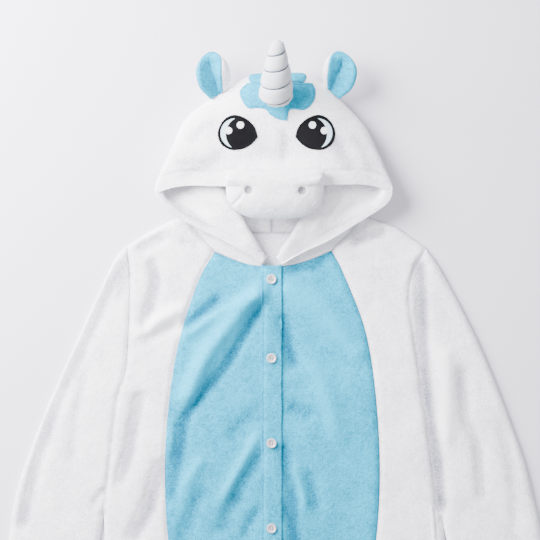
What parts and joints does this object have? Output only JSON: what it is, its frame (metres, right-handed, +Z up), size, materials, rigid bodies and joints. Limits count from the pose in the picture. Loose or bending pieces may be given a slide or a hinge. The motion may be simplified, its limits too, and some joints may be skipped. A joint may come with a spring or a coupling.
{
  "type": "unicorn onesie",
  "caption": "Hooded one-piece costume with a stuffed horn, snout and ears, a contrast belly panel and a buttoned front, laid flat front up.",
  "frame": {"origin": "centre of the bounding box in plan, on the surface the garment lies on", "axes": "+Y from the ankles toward the horn, +X to the right of someone who looks down on its front, +Z up from the surface"},
  "size_m": [0.979, 1.748, 0.1303],
  "materials": {
    "white_fleece": "soft brushed fleece with a short nap",
    "blue_fleece": "soft short-pile fleece with a light sheen",
    "horn_cloth": "smooth pale fleece, wound with thread",
    "black_thread": "dense embroidery",
    "grey_thread": "whipped thread ring",
    "button_plastic": "slightly translucent gloss"
  },
  "bodies": {
    "root": {"back_left": "white_fleece", "back_right": "white_fleece", "side_front_left": "white_fleece", "side_front_right": "white_fleece", "sleeve_left": "white_fleece", "sleeve_right": "white_fleece", "hood_back_left": "white_fleece", "hood_back_right": "white_fleece", "hood_front_left": "white_fleece", "hood_front_right": "white_fleece", "ear_back_left": "white_fleece", "ear_back_right": "white_fleece", "snout": "white_fleece", "pocket_right": "white_fleece", "belly_left": "blue_fleece", "belly_right": "blue_fleece", "placket": "blue_fleece", "ear_inner_left": "blue_fleece", "ear_inner_right": "blue_fleece", "mane_front": "blue_fleece", "mane_back": "blue_fleece", "horn": "horn_cloth", "eye_left": "black_thread", "eye_right": "black_thread", "nostril_left": "grey_thread", "nostril_right": "grey_thread", "button_1": "button_plastic", "button_2": "button_plastic", "button_3": "button_plastic", "button_4": "button_plastic", "button_5": "button_plastic"}
  },
  "joints": []
}
